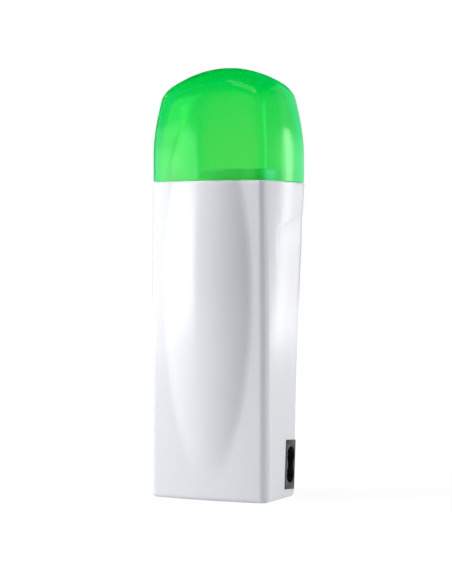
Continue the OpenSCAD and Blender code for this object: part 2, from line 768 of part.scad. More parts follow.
module wire_neutral() {
    color(neutral_blue) wire([
        tab_at(tab_x - 0.2, -1), tab_at(tab_x - crimp_len - 0.2, -1), tab_at(tab_x - crimp_len - 1.2, -1),
        tab_at(tab_x - crimp_len - 4, -1) + [0, -2.5, 4], [0.5, inlet_y - 5.5, inlet_z + 9],
        [8, inlet_y - 4, inlet_z + 20], [neutral_x - 1.5, sleeve_back - 3, floor_z - 7],
        [neutral_x, lane(floor_z) - 0.2, floor_z], [neutral_x, lane(floor_z + 8), floor_z + 8],
        [neutral_x, lane(tie_z), tie_z], [neutral_x, lane(fuse_z - 12), fuse_z - 12],
        [neutral_x - 1.5, lane(fuse_z), fuse_z], neutral_tab + [0, 0, -3],
        neutral_tab + [0, 0, -1], neutral_tab + [0, 0, -touch]
    ], wire_r);
}

// Strap round the two wires with its lock at one end
module cable_tie() {
    strap = [6, 2.9, 2.5];
    lock = [3, 2.9, 3.4];
    hole = [4.4, 1.8, 4];
    color(nylon) translate([(live_x + neutral_x) / 2, lane(tie_z), tie_z]) difference() {
        union() {
            cube(strap, center = true);
            translate([(strap[0] + eps) / 2, 0, 0]) cube(lock, center = true);
        }
        cube(hole, center = true);
    }
}

// ---------- fasteners and label ----------

// Pan-head screws with a cross recess
module housing_screws() {
    cross_len = 3.4;
    cross_w = 0.7;
    cross_deep = 1.2;
    head_y = post_end_y + post_floor + touch;
    color(steel) for (p = screw_spots) translate([p[0], 0, p[1]]) difference() {
        union() {
            y_cylinder(screw_r, head_y - screw_len, head_y + screw_head_h);
            y_cylinder(screw_head_r, head_y, head_y + screw_head_h);
        }
        for (turn = [0, 90]) rotate([0, turn, 0])
            translate([-cross_len / 2, head_y + screw_head_h - cross_deep, -cross_w / 2])
                cube([cross_len, cross_deep + eps, cross_w]);
    }
}

module rating_label() {
    label = [34, 0.2, 22];
    label_z = 58;
    color(label_grey) translate([0, back_y, 0]) rotate([-back_lean, 0, 0])
        translate([-label[0] / 2, touch, label_z]) cube(label);
}

front_shell();
rear_shell();
neck_collar();
cap();
cartridge_sleeve();
well_floor();
sleeve_gasket();
retaining_spring();
spring_rivet();
heat_spreader();
ptc_element();
electrode_live();
electrode_neutral();
insulating_film();
heater_clamp();
clamp_screws();
insulation_board();
thermal_fuse();
fuse_sleeve();
inlet_body();
inlet_pins();
tab_sleeves();
wire_live();
wire_fused();
wire_neutral();
cable_tie();
housing_screws();
rating_label();
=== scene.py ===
import math

import bpy
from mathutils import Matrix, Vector


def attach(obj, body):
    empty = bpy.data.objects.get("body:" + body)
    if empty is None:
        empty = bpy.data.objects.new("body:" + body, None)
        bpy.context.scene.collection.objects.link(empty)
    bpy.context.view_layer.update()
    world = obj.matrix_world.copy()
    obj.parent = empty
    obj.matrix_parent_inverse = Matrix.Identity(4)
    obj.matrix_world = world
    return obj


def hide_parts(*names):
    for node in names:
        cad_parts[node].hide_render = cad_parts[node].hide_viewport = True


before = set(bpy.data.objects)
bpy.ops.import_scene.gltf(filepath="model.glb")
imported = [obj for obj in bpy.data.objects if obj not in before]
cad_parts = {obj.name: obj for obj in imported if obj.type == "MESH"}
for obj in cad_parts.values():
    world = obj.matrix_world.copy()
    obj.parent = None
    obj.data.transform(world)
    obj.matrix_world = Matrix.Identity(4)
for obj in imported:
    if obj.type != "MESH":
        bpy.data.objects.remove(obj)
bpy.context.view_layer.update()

MM = 0.001


# ---- Camera ----
# It stands in front and to the right, a little below the cap, and looks almost level.
# Its place and lens come from the outline, the rim and the base in the photo.
CAMERA_TURN = 26.0
CAMERA_AWAY = 885.0
CAMERA_HIGH = 116.0
CAMERA_DOWN = 1.36
LONG_SIDE_PX = 584
FOCAL_PX = 1900
FILM = 36.0

turn = math.radians(CAMERA_TURN)
lens = bpy.data.cameras.new("camera")
lens.sensor_width = FILM
lens.lens = FOCAL_PX * FILM / LONG_SIDE_PX
lens.clip_end = 20.0
camera = bpy.data.objects.new("camera", lens)
camera.location = Vector((math.sin(turn) * CAMERA_AWAY, -math.cos(turn) * CAMERA_AWAY, CAMERA_HIGH)) * MM
camera.rotation_euler = (math.radians(90.0 - CAMERA_DOWN), 0.0, turn)
bpy.context.scene.collection.objects.link(camera)
bpy.context.scene.camera = camera
bpy.context.scene.view_settings.view_transform = "Standard"


# ---- Floor and light ----
# A white paper sweep under soft lamps: a broad one on the left, a narrow one behind on the right
# that draws the bright line down the side, fills on both sides, and a weak one overhead.
FLOOR_WHITE = "#ffffff"
PAPER_WHITE = "#dcdde0"
ROOM_WHITE = "#f4f6fa"
FLOOR_HALF = 3.0
FLOOR_GLOW = 1.14
SHADOW_NEAR = 0.1
SHADOW_FAR = 0.6
GLOW_NEAR = 0.8
WORLD_LIGHT = 0.14
LAMP_AIM = 0.1


def linear(code):
    """sRGB hex to the linear colour that a shader takes."""
    parts = [int(code[i:i + 2], 16) / 255.0 for i in (1, 3, 5)]
    return [c / 12.92 if c <= 0.04045 else ((c + 0.055) / 1.055) ** 2.4 for c in parts] + [1.0]


def add_node(tree, kind, inputs=None, **settings):
    """Adds a node: its settings first, then each input from a value or from another node's output."""
    made = tree.nodes.new("ShaderNode" + kind)
    for name, value in settings.items():
        setattr(made, name, value)
    for name, value in (inputs or {}).items():
        if isinstance(value, bpy.types.NodeSocket):
            tree.links.new(value, made.inputs[name])
        else:
            made.inputs[name].default_value = value
    return made


def new_material(name):
    """An empty node tree with its output."""
    material = bpy.data.materials.new(name)
    material.use_nodes = True
    tree = material.node_tree
    tree.nodes.clear()
    return material, tree, add_node(tree, "OutputMaterial")


def deselect():
    if bpy.context.object and bpy.context.object.mode != "OBJECT":
        bpy.ops.object.mode_set(mode="OBJECT")
    bpy.ops.object.select_all(action="DESELECT")


# Paper that the eye and the gloss see as near white. Close to the object it shows more of the shadow
white_sweep, tree, output = new_material("white_paper_sweep")
seen = add_node(tree, "LightPath")
bright = add_node(tree, "Emission", {"Color": linear(FLOOR_WHITE), "Strength": FLOOR_GLOW})
paper = add_node(tree, "BsdfDiffuse", {"Color": linear(PAPER_WHITE)})
looked = add_node(tree, "Math", {0: seen.outputs["Is Camera Ray"], 1: seen.outputs["Is Glossy Ray"]},
                  operation="MAXIMUM")
spot = add_node(tree, "NewGeometry")
apart = add_node(tree, "VectorMath", {0: spot.outputs["Position"]}, operation="LENGTH")
share = add_node(tree, "MapRange", {"Value": apart.outputs["Value"], "From Min": SHADOW_NEAR,
                                    "From Max": SHADOW_FAR, "To Min": GLOW_NEAR, "To Max": 1.0})
direct = add_node(tree, "Math", {0: looked.outputs[0], 1: share.outputs["Result"]}, operation="MULTIPLY")
mixed = add_node(tree, "MixShader", {0: direct.outputs[0], 1: paper.outputs[0], 2: bright.outputs[0]})
tree.links.new(mixed.outputs[0], output.inputs["Surface"])

deselect()
bpy.ops.mesh.primitive_plane_add(size=2 * FLOOR_HALF, location=(0, 0, 0))
floor = bpy.context.object
floor.name = "floor"
floor.data.materials.append(white_sweep)

world = bpy.data.worlds.new("studio")
world.use_nodes = True
bpy.context.scene.world = world
tree = world.node_tree
tree.nodes.clear()
rays = add_node(tree, "LightPath")
direct = add_node(tree, "Math", {0: rays.outputs["Is Camera Ray"],
                                 1: rays.outputs["Is Transmission Ray"]}, operation="MAXIMUM")
dim = add_node(tree, "MapRange", {"Value": rays.outputs["Is Glossy Ray"], "To Min": WORLD_LIGHT,
                                  "To Max": 0.0})
room = add_node(tree, "Background", {"Color": linear(ROOM_WHITE), "Strength": dim.outputs["Result"]})
backdrop = add_node(tree, "Background", {"Color": linear(FLOOR_WHITE), "Strength": 1.0})
mixed = add_node(tree, "MixShader", {0: direct.outputs[0], 1: room.outputs[0], 2: backdrop.outputs[0]})
output = add_node(tree, "OutputWorld", {"Surface": mixed.outputs[0]})


def area_lamp(name, turned, away, high, size, power, mirrored=True):
    """A soft box that faces the middle of the object. turned is its bearing from the front, in degrees
    to the right. away, high and size are metres, power is watts. One that isn't mirrored gives its
    light but draws no highlight."""
    lamp = bpy.data.lights.new(name, "AREA")
    lamp.shape = "RECTANGLE"
    lamp.size, lamp.size_y = size
    lamp.energy = power
    holder = bpy.data.objects.new(name, lamp)
    bearing = math.radians(turned)
    holder.location = (math.sin(bearing) * away, -math.cos(bearing) * away, high)
    aim = Vector((0, 0, LAMP_AIM)) - holder.location
    holder.rotation_euler = aim.to_track_quat("-Z", "Y").to_euler()
    holder.visible_glossy = mirrored
    bpy.context.scene.collection.objects.link(holder)


area_lamp("softbox_left", -58, 1.3, 0.14, (1.0, 0.28), 4.9)
area_lamp("softbox_left_top", -58, 1.3, 0.39, (1.0, 0.22), 1.7)
area_lamp("fill_left", -58, 1.3, 0.8, (1.0, 0.8), 14.6, mirrored=False)
area_lamp("strip_right", 153.0, 1.4, 0.12, (0.045, 0.46), 0.62)
area_lamp("panel_right", 163, 1.4, 0.3, (0.55, 1.2), 1.0)
area_lamp("fill_right", 116, 1.6, 0.4, (0.8, 1.0), 16.0, mirrored=False)
area_lamp("overhead", 10, 0.5, 1.5, (0.8, 0.8), 3.6)


# ---- Housing shells ----
# Two halves moulded in glossy white ABS, screwed together from the back. A raised tongue runs
# down the front, the back leans in towards the base, and a fine groove marks where they meet.
HOUSING_W = 60.0
HOUSING_H = 146.0
BASE_DEPTH = 36.0
RIM_DEPTH = 47.5
FRONT_BOW = 2.0
FRONT_CORNER = 4.0
REAR_CORNER = 4.5
REAR_CORNER_SWELL = 2.2
SHELL_WALL = 2.2
TONGUE_RISE = 4.0
TONGUE_W = 43.0
TONGUE_MID = 93.0
TONGUE_TIP = 12.5
TONGUE_SHIFT = 0.75
# how far the parting line lies behind the front, at the base and at the rim
PARTING = (4.7, 4.4)
GROOVE_DEEP = 0.18
GROOVE_HALF = 0.4
LEAST_CORNER = 0.6
CREASE = 0.6
CAP_CREASE = 1.6

FRONT_Y = -(TONGUE_RISE + RIM_DEPTH) / 2 + TONGUE_RISE
RIM_BACK_Y = FRONT_Y + RIM_DEPTH
FRONT_ARC = (HOUSING_W ** 2 / 4 + FRONT_BOW ** 2) / (2 * FRONT_BOW)
ARC_Y = FRONT_Y + FRONT_ARC
TONGUE_BOW = TONGUE_W ** 2 / 8 / FRONT_ARC
TONGUE_SAG = TONGUE_RISE + TONGUE_BOW
TONGUE_ARC = (TONGUE_W ** 2 / 4 + TONGUE_SAG ** 2) / (2 * TONGUE_SAG)
TONGUE_HALF_H = TONGUE_MID - TONGUE_TIP
TONGUE_LONG_ARC = (TONGUE_HALF_H ** 2 + TONGUE_RISE ** 2) / (2 * TONGUE_RISE)

# the side walls' bow: where it starts, at the base and at the rim, and how much it curves
BOW_BASE_Y = -16.0
BOW_RIM_Y = 11.0
BOW = 0.0013
SIDE_EASE = 6.0
# the thumb dent: its slanted edge, its depth, and how far it fades
DENT_Z = 124.6
DENT_Y = -6.0
DENT_SLANT = 0.283
DENT_DEEP = 0.35
DENT_STEP = 1.4
DENT_FADE = 14.0
DENT_FRONT_Y = -9.0
DENT_EASE = 6.0

FRONT_POINTS = 120
LINE_POINTS = 8
CORNER_POINTS = 9
SIDE_POINTS = 34
REAR_POINTS = 12
BACK_POINTS = 12
WALL_LEVELS = 118


def soft_min(a, b, soft):
    """The smaller of two, with the crease where they meet rounded off."""
    near = max(soft - abs(a - b), 0.0) / soft
    return min(a, b) - near * near * soft / 4


def ease(t):
    """From 0 to 1, slowly at both ends."""
    t = min(max(t, 0.0), 1.0)
    return t * t * (3 - 2 * t)


def back_at(z):
    """The back leans in towards the base."""
    return FRONT_Y + BASE_DEPTH + (RIM_DEPTH - BASE_DEPTH) * z / HOUSING_H


def front_at(x, z, inset, soft):
    """The front face, and the tongue that stands out of it as a shallow barrel."""
    plain = ARC_Y - math.sqrt((FRONT_ARC - inset) ** 2 - x * x)
    x -= TONGUE_SHIFT
    drop = TONGUE_LONG_ARC - math.sqrt(TONGUE_LONG_ARC ** 2 - (z - TONGUE_MID) ** 2)
    around = TONGUE_ARC - drop - inset
    if abs(x) >= around:
        return plain
    barrel = FRONT_Y - TONGUE_RISE + TONGUE_ARC - math.sqrt(around ** 2 - x * x)
    return soft_min(plain, barrel, soft)


def corner_radii(z):
    """The front corners are the same all the way up. The rear ones are widest halfway."""
    return FRONT_CORNER, REAR_CORNER + REAR_CORNER_SWELL * math.sin(math.pi * min(z / HOUSING_H, 1.0))


def outline(z, inset=0.0, grown=0.0, back=None, soft=CREASE, side=None, groove=0.0):
    """A level outline of the housing as points in order, from the left end of the front round to it
    again. grown adds to the corner radii, and side gives how far a side wall lies in."""
    front_r, rear_r = (radius + grown for radius in corner_radii(z))
    back = back if back is not None else back_at(z)
    half = HOUSING_W / 2 - inset
    arc = FRONT_ARC - inset
    rf = max(front_r - inset, LEAST_CORNER)
    rb = max(rear_r - inset, LEAST_CORNER)
    cx = half - rf
    cy = ARC_Y - math.sqrt((arc - rf) ** 2 - cx * cx)
    start = math.asin(cx / (arc - rf))
    edge = arc * math.sin(start)
    line_y = FRONT_Y + PARTING[0] + (PARTING[1] - PARTING[0]) * min(z, HOUSING_H) / HOUSING_H
    line = math.acos(min(max((cy - line_y) / rf, -0.9), 0.99))
    turned = GROOVE_HALF / rf
    end_y = back - inset - rb
    bx = half - rb
    right = []
    for k in range(1, LINE_POINTS + 1):
        t = start + (line - turned - start) * k / LINE_POINTS
        right.append((cx + rf * math.sin(t), cy - rf * math.cos(t)))
    right.append((cx + (rf - groove) * math.sin(line), cy - (rf - groove) * math.cos(line)))
    for k in range(CORNER_POINTS + 1):
        t = line + turned + (math.pi / 2 - line - turned) * k / CORNER_POINTS
        right.append((cx + rf * math.sin(t), cy - rf * math.cos(t)))
    for k in range(1, SIDE_POINTS):
        right.append((half, cy + (end_y - cy) * k / SIDE_POINTS))
    for k in range(REAR_POINTS + 1):
        t = math.pi / 2 * k / REAR_POINTS
        right.append((bx + rb * math.cos(t), end_y + rb * math.sin(t)))
    if side:
        right = [(x - side(y, z) * ease((y - cy) / SIDE_EASE + 1) if y < end_y + 1
                  else x - side(end_y, z), y) for x, y in right]
    front = []
    for k in range(FRONT_POINTS + 1):
        x = -edge + 2 * edge * k / FRONT_POINTS
        front.append((x, front_at(x, z, inset, soft)))
    last_x = right[-1][0]
    back_row = [(last_x - 2 * last_x * k / BACK_POINTS, back - inset) for k in range(1, BACK_POINTS)]
    return front + right + back_row + [(-x, y) for x, y in reversed(right)]


def lofted(name, rings, closed=False):
    """A grid primitive, wrapped so that each of its rows lies on one ring of points, in mm.
    Its seam and its poles are closed."""
    columns = len(rings[0])
    rows = len(rings) if closed else len(rings) - 1
    deselect()
    bpy.ops.mesh.primitive_grid_add(x_subdivisions=columns, y_subdivisions=rows, size=1,
                                    location=(0, 0, 0))
    piece = bpy.context.object
    piece.name = name
    spots = [(round((v.co.x + 0.5) * columns), round((v.co.y + 0.5) * rows))
             for v in piece.data.vertices]
    for vertex, (i, j) in zip(piece.data.vertices, spots):
        vertex.co = Vector(rings[j % len(rings)][i % columns]) * MM
    bpy.ops.object.mode_set(mode="EDIT")
    bpy.ops.mesh.select_all(action="SELECT")
    bpy.ops.mesh.remove_doubles(threshold=0.000004)
    bpy.ops.mesh.normals_make_consistent(inside=False)
    bpy.ops.object.mode_set(mode="OBJECT")
    return piece


def smooth(piece, angle=30.0):
    deselect()
    piece.select_set(True)
    bpy.context.view_layer.objects.active = piece
    bpy.ops.object.shade_smooth_by_angle(angle=math.radians(angle))


def pole(x, y, z, count):
    return [(x, y, z)] * count


def side_form(y, z):
    """How far a side wall lies inside its flat plane: it is bowed a little, most near the rim,
    and a shallow thumb dent ends at a slanted edge."""
    flat_from = BOW_BASE_Y + (BOW_RIM_Y - BOW_BASE_Y) * min(z / HOUSING_H, 1.0)
    fall = BOW * max(flat_from - y, 0.0) ** 2
    under = DENT_Z + (y - DENT_Y) * DENT_SLANT - z
    if y <= DENT_FRONT_Y or under <= 0.0:
        return fall
    dent = DENT_DEEP * ease(under / DENT_STEP) * ease(1.0 - (under - DENT_STEP) / DENT_FADE)
    return fall + dent * ease((y - DENT_FRONT_Y) / DENT_EASE)


FOOT_R = 2.0
LIP_R = 0.4
levels = [FOOT_R * (1 - math.cos(math.radians(15 * k))) for k in range(1, 6)] + [FOOT_R]
levels += [FOOT_R + (HOUSING_H - LIP_R - FOOT_R) * k / WALL_LEVELS for k in range(1, WALL_LEVELS + 1)]


def foot_inset(z):
    return FOOT_R - math.sqrt(max(0.0, FOOT_R ** 2 - (FOOT_R - z) ** 2)) if z < FOOT_R else 0.0


# From the middle of the base out, up the wall, over the lip, and down the inside to the middle again
count = len(outline(0.0))
rings = [pole(0, 0, 0, count)]
rings += [[(x * s, y * s, 0.0) for x, y in outline(0.0, inset=FOOT_R)] for s in (0.5, 0.9)]
rings += [[(x, y, 0.0) for x, y in outline(0.0, inset=FOOT_R)]]
rings += [[(x, y, z) for x, y in outline(z, inset=foot_inset(z), side=side_form, groove=GROOVE_DEEP)]
          for z in levels]
for k in range(1, 4):
    t = math.radians(30 * k)
    z = HOUSING_H - LIP_R * (1 - math.sin(t))
    rings += [[(x, y, z) for x, y in outline(z, inset=LIP_R * (1 - math.cos(t)), side=side_form,
                                             groove=GROOVE_DEEP)]]
for z in (HOUSING_H, 139.0, 90.0, 45.0, SHELL_WALL):
    rings += [[(x, y, z) for x, y in outline(z, inset=SHELL_WALL, side=side_form)]]
rings += [[(x * 0.5, y * 0.5, SHELL_WALL) for x, y in outline(SHELL_WALL, inset=SHELL_WALL)]]
rings += [pole(0, 0, SHELL_WALL, count)]
whole = lofted("housing_whole", rings)


def half_of(source, name, front):
    """One shell: a copy of the whole form, cut at the leaning parting plane and closed there."""
    deselect()
    source.select_set(True)
    bpy.context.view_layer.objects.active = source
    bpy.ops.object.duplicate()
    piece = bpy.context.object
    piece.name = name
    bpy.ops.object.mode_set(mode="EDIT")
    bpy.ops.mesh.select_all(action="SELECT")
    lean = (PARTING[0] - PARTING[1]) / HOUSING_H
    bpy.ops.mesh.bisect(plane_co=(0, (FRONT_Y + PARTING[0]) * MM, 0), plane_no=(0, 1, lean),
                        use_fill=True, clear_inner=not front, clear_outer=front, threshold=0.00002)
    bpy.ops.object.mode_set(mode="OBJECT")
    smooth(piece)
    return piece


front_shell = half_of(whole, "shell_front", True)
rear_shell = half_of(whole, "shell_rear", False)
bpy.data.objects.remove(whole)

SCREW_SPOTS = [(-18.0, 40.0), (18.0, 40.0), (-18.0, 12.0)]
POST_R = 3.6
POST_ROOT_Y = FRONT_Y + 1.6
POST_END_Y = FRONT_Y + 15.0
POST_GAP = 0.05
PILOT_R = 1.5
PILOT_DEEP = 10.0
COUNTERBORE_R = 2.75
SCREW_SEAT_T = 6.0
PAST = 1.0


def rod_along_y(radius, y0, y1, x, z):
    deselect()
    bpy.ops.mesh.primitive_cylinder_add(vertices=48, radius=radius * MM, depth=(y1 - y0) * MM,
                                        location=(x * MM, (y0 + y1) / 2 * MM, z * MM),
                                        rotation=(math.pi / 2, 0, 0))
    rod = bpy.context.object
    bpy.ops.object.transform_apply(location=True, rotation=True, scale=True)
    return rod


def combine(piece, tool, how):
    """Joins tool to piece or cuts it away, and applies the result."""
    deselect()
    piece.select_set(True)
    bpy.context.view_layer.objects.active = piece
    change = piece.modifiers.new("combine", "BOOLEAN")
    change.operation = how
    change.solver = "EXACT"
    change.object = tool
    bpy.ops.object.modifier_apply(modifier=change.name)
    bpy.data.objects.remove(tool)


BACK_LEAN = math.atan((RIM_DEPTH - BASE_DEPTH) / HOUSING_H)
INLET_Z = 15.4
PLATE_W = 10.2
PLATE_H = 22.7
PLATE_GAP = 0.1
PLATE_HOLE_D = 7.0
INLET_Y = back_at(INLET_Z) - 4.4 - PLATE_W / 2


def inlet_box(w, h, x0, x1):
    """A block round the middle of the inlet, which leans as the back does."""
    deselect()
    bpy.ops.mesh.primitive_cube_add(size=1, location=(0, 0, 0))
    box = bpy.context.object
    box.scale = ((x1 - x0) * MM, w * MM, h * MM)
    box.location = ((x0 + x1) / 2 * MM, INLET_Y * MM, INLET_Z * MM)
    box.rotation_euler = (-BACK_LEAN, 0, 0)
    bpy.ops.object.transform_apply(location=True, rotation=True, scale=True)
    return box


for x, z in SCREW_SPOTS:
    combine(front_shell, rod_along_y(POST_R, POST_ROOT_Y, POST_END_Y - POST_GAP, x, z), "UNION")
    pilot = rod_along_y(PILOT_R, POST_END_Y - PILOT_DEEP, POST_END_Y + PAST, x, z)
    combine(front_shell, pilot, "DIFFERENCE")
    combine(rear_shell, rod_along_y(POST_R, POST_END_Y, back_at(z) - SHELL_WALL / 2, x, z), "UNION")
    sunk = rod_along_y(COUNTERBORE_R, POST_END_Y + SCREW_SEAT_T, RIM_BACK_Y + 5 * PAST, x, z)
    combine(rear_shell, sunk, "DIFFERENCE")
    passage = rod_along_y(PILOT_R, POST_END_Y - PAST, POST_END_Y + SCREW_SEAT_T + PAST, x, z)
    combine(rear_shell, passage, "DIFFERENCE")
plate_hole = inlet_box(PLATE_W + PLATE_GAP, PLATE_H + PLATE_GAP, HOUSING_W / 2 - PLATE_HOLE_D,
                       HOUSING_W / 2 + PAST)
combine(rear_shell, plate_hole, "DIFFERENCE")
smooth(front_shell)
smooth(rear_shell)

# Moulded ABS: a hard polish with the faint waviness that thin walls keep. A noise's scale is how
# often it repeats in a metre: a wave every 17 mm, and specks of handling every 1.1 mm
ABS_WHITE = "#eceef2"
WAVES_A_METRE = 60.0
SPECKS_A_METRE = 900.0
abs_gloss, tree, output = new_material("glossy_white_abs_moulded")
where = add_node(tree, "TexCoord")
waves = add_node(tree, "TexNoise", {"Vector": where.outputs["Object"], "Scale": WAVES_A_METRE,
                                    "Detail": 2.0})
ripple = add_node(tree, "Bump", {"Height": waves.outputs["Fac"], "Strength": 0.02, "Distance": 0.002})
worn = add_node(tree, "TexNoise", {"Vector": where.outputs["Object"], "Scale": SPECKS_A_METRE,
                                   "Detail": 3.0})
rough = add_node(tree, "MapRange", {"Value": worn.outputs["Fac"], "To Min": 0.14, "To Max": 0.2})
shell = add_node(tree, "BsdfPrincipled", {
    "Base Color": linear(ABS_WHITE), "Roughness": rough.outputs["Result"], "IOR": 1.52,
    "Normal": ripple.outputs["Normal"]})
tree.links.new(shell.outputs[0], output.inputs["Surface"])

for piece, node in ((front_shell, "front_shell"), (rear_shell, "rear_shell")):
    piece.data.materials.clear()
    piece.data.materials.append(abs_gloss)
    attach(piece, "housing")
    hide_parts(node)


# ---- Cap ----
# One piece, injection moulded in translucent green: sides that lean in, a soft edge all round,
# and a domed roof that is thicker than the sides. It slides over the neck and rests just above
# the rim.
CAP_Z = 146.2
CAP_WALL = 1.8
CAP_ROOF_WALL = 5.2
INNER_ROUND = 5.3
CAP_STEP = 0.2
FLARE_Z = 15.0
FLARE_R = 122.0
TURN_Z = 42.0
EDGE_R = 3.8
ROOF_RX = 42.0
ROOF_RY = 39.0
ROOF_BACK = 2.5
ROOF_Y = (FRONT_Y + RIM_BACK_Y) / 2 + ROOF_BACK
CAP_H = 53.1
CAP_LIP = 0.25
FLARE_STEPS = 36
EDGE_STEPS = 12
ROOF_STEPS = 24
EDGE_FROM = math.atan((TURN_Z - FLARE_Z) / FLARE_R)
EDGE_TOP = TURN_Z + EDGE_R * (1 - math.sin(EDGE_FROM))


def flare(h):
    """How far the sides lean in at a height: straight at first, then on a wide arc."""
    return 0.0 if h < FLARE_Z else (h - FLARE_Z) ** 2 / (2 * FLARE_R)


def cap_side(y, z):
    """The cap's sides follow the bow that the housing has at its rim."""
    return side_form(y, HOUSING_H)


def cap_ring(share, inset, shrink, skin, lift=0.0):
    """One ring of the cap: share of the roof's height, inset of the outline, and scale in plan.
    The inside, which skin marks, has wider corners and a lower roof than the outside."""
    z = HOUSING_H + share * EDGE_TOP
    grown = inset + (INNER_ROUND if skin else 0.0)
    ring = []
    for x, y in outline(z, inset=inset + CAP_STEP + skin, grown=grown, back=RIM_BACK_Y, soft=CAP_CREASE,
                        side=cap_side):
        x, y = x * shrink, ROOF_Y + (y - ROOF_Y) * shrink
        roof = CAP_H - x * x / (2 * ROOF_RX) - (y - ROOF_Y) ** 2 / (2 * ROOF_RY)
        ring.append((x, y, CAP_Z + lift + share * (roof - (CAP_ROOF_WALL if skin else 0.0))))
    return ring


profile = []
for k in range(FLARE_STEPS + 1):
    h = TURN_Z * k / FLARE_STEPS
    profile.append((h / EDGE_TOP, flare(h), 1.0))
for k in range(1, EDGE_STEPS + 1):
    t = EDGE_FROM + (math.pi / 2 - EDGE_FROM) * k / EDGE_STEPS
    profile.append(((TURN_Z + EDGE_R * (math.sin(t) - math.sin(EDGE_FROM))) / EDGE_TOP,
                    flare(TURN_Z) + EDGE_R * (math.cos(EDGE_FROM) - math.cos(t)), 1.0))
last_inset = profile[-1][1]
for k in range(1, ROOF_STEPS + 1):
    profile.append((1.0, last_inset, 1 - k / (ROOF_STEPS + 1)))

outer = [cap_ring(*p, 0.0) for p in profile]
inner = [cap_ring(*p, CAP_WALL) for p in profile]
top = (0, ROOF_Y, CAP_Z + CAP_H)
under = (0, ROOF_Y, CAP_Z + CAP_H - CAP_ROOF_WALL)
columns = len(outer[0])
low_outer = cap_ring(0.0, CAP_LIP, 1.0, 0.0)
low_inner = cap_ring(0.0, -CAP_LIP, 1.0, CAP_WALL)
outer[0] = cap_ring(0.0, 0.0, 1.0, 0.0, lift=CAP_LIP)
inner[0] = cap_ring(0.0, 0.0, 1.0, CAP_WALL, lift=CAP_LIP)
rings = [pole(*top, columns)] + outer[::-1] + [low_outer, low_inner] + inner + [pole(*under, columns)]
cap = lofted("cap_dome", rings)

# The fan of thin triangles in the middle of the roof becomes one face, above and below
bpy.ops.object.mode_set(mode="EDIT")
bpy.ops.mesh.select_all(action="DESELECT")
bpy.ops.object.mode_set(mode="OBJECT")
for vertex in cap.data.vertices:
    vertex.select = min((vertex.co - Vector(tip) * MM).length for tip in (top, under)) < 0.00001
bpy.ops.object.mode_set(mode="EDIT")
bpy.ops.mesh.dissolve_verts()
bpy.ops.object.mode_set(mode="OBJECT")
smooth(cap, 40.0)

# Translucent polypropylene: a frosted skin under a clear polish, and a dye that deepens wherever the
# eye looks along the wall, as at the sides and round the roof. The wall is thin and bends the view
# little, so the IOR is low and the gloss comes from the coat. Its ripple repeats every 14 mm
RIPPLES_A_METRE = 70.0
CAP_TINT = "#c6ef9b"
CAP_DYE = "#19fcf0"
CAP_DEPTH = 400.0
green, tree, output = new_material("translucent_green_polypropylene_moulded")
where = add_node(tree, "TexCoord")
cloud = add_node(tree, "TexNoise", {"Vector": where.outputs["Object"], "Scale": RIPPLES_A_METRE,
                                    "Detail": 2.0})
ripple = add_node(tree, "Bump", {"Height": cloud.outputs["Fac"], "Strength": 0.03, "Distance": 0.002})
skin = add_node(tree, "BsdfPrincipled", {
    "Base Color": linear(CAP_TINT), "Roughness": 0.3, "IOR": 1.06, "Transmission Weight": 1.0,
    "Coat Weight": 0.5, "Coat Roughness": 0.12, "Coat IOR": 1.49, "Normal": ripple.outputs["Normal"]})
dye = add_node(tree, "VolumeAbsorption", {"Color": linear(CAP_DYE), "Density": CAP_DEPTH})
tree.links.new(skin.outputs[0], output.inputs["Surface"])
tree.links.new(dye.outputs[0], output.inputs["Volume"])

cap.data.materials.clear()
cap.data.materials.append(green)
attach(cap, "cap")
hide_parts("cap")


# ---- Neck collar ----
# White ABS deck that closes the housing round the well, with the upright neck that the cap
# slides over. It is moulded in one piece and drops onto a ledge inside the rim.
NECK_H = 5.3
NECK_WALL = 1.8
NECK_GAP = 0.35
NECK_INSET = CAP_STEP + CAP_WALL + NECK_GAP
DECK_T = 4.0
WELL_W = 47.4
WELL_D = 28.0
WELL_R = 8.0
SLEEVE_T = 0.8
FLANGE_W = 1.4
FLANGE_T = 0.8
GASKET_T = 0.8
FIT = 0.15
SLEEVE_BACK = 6.4
SLEEVE_Y = FRONT_Y + SLEEVE_BACK + (WELL_D + 2 * SLEEVE_T) / 2


def level_ring(z, inset, grown=0.0):
    """The rim's outline, drawn in by inset, at a height."""
    plan = outline(HOUSING_H, inset=inset, grown=grown, back=back_at(HOUSING_H - DECK_T))
    return [(x, y, z) for x, y in plan]


def neck_ring(z, inset):
    """The neck's corners are as wide as those inside the cap."""
    return level_ring(z, inset, grown=INNER_ROUND)


def well_ring(z, grow, like):
    """A rounded rectangle round the well, with one point for each point of another ring."""
    w = WELL_W / 2 + grow
    d = WELL_D / 2 + grow
    r = WELL_R + grow
    ring = []
    for x, y, _ in like:
        a = math.atan2(y - SLEEVE_Y, x)
        c, s = abs(math.cos(a)), abs(math.sin(a))
        reach = min(w / c if c > 1e-9 else 1e9, d / s if s > 1e-9 else 1e9)
        px, py = reach * c, reach * s
        ix, iy = w - r, d - r
        if px > ix and py > iy:
            b = c * ix + s * iy
            reach = b + math.sqrt(max(0.0, b * b - ix * ix - iy * iy + r * r))
            px, py = reach * c, reach * s
        ring.append((math.copysign(px, math.cos(a)), SLEEVE_Y + math.copysign(py, math.sin(a)), z))
    return ring


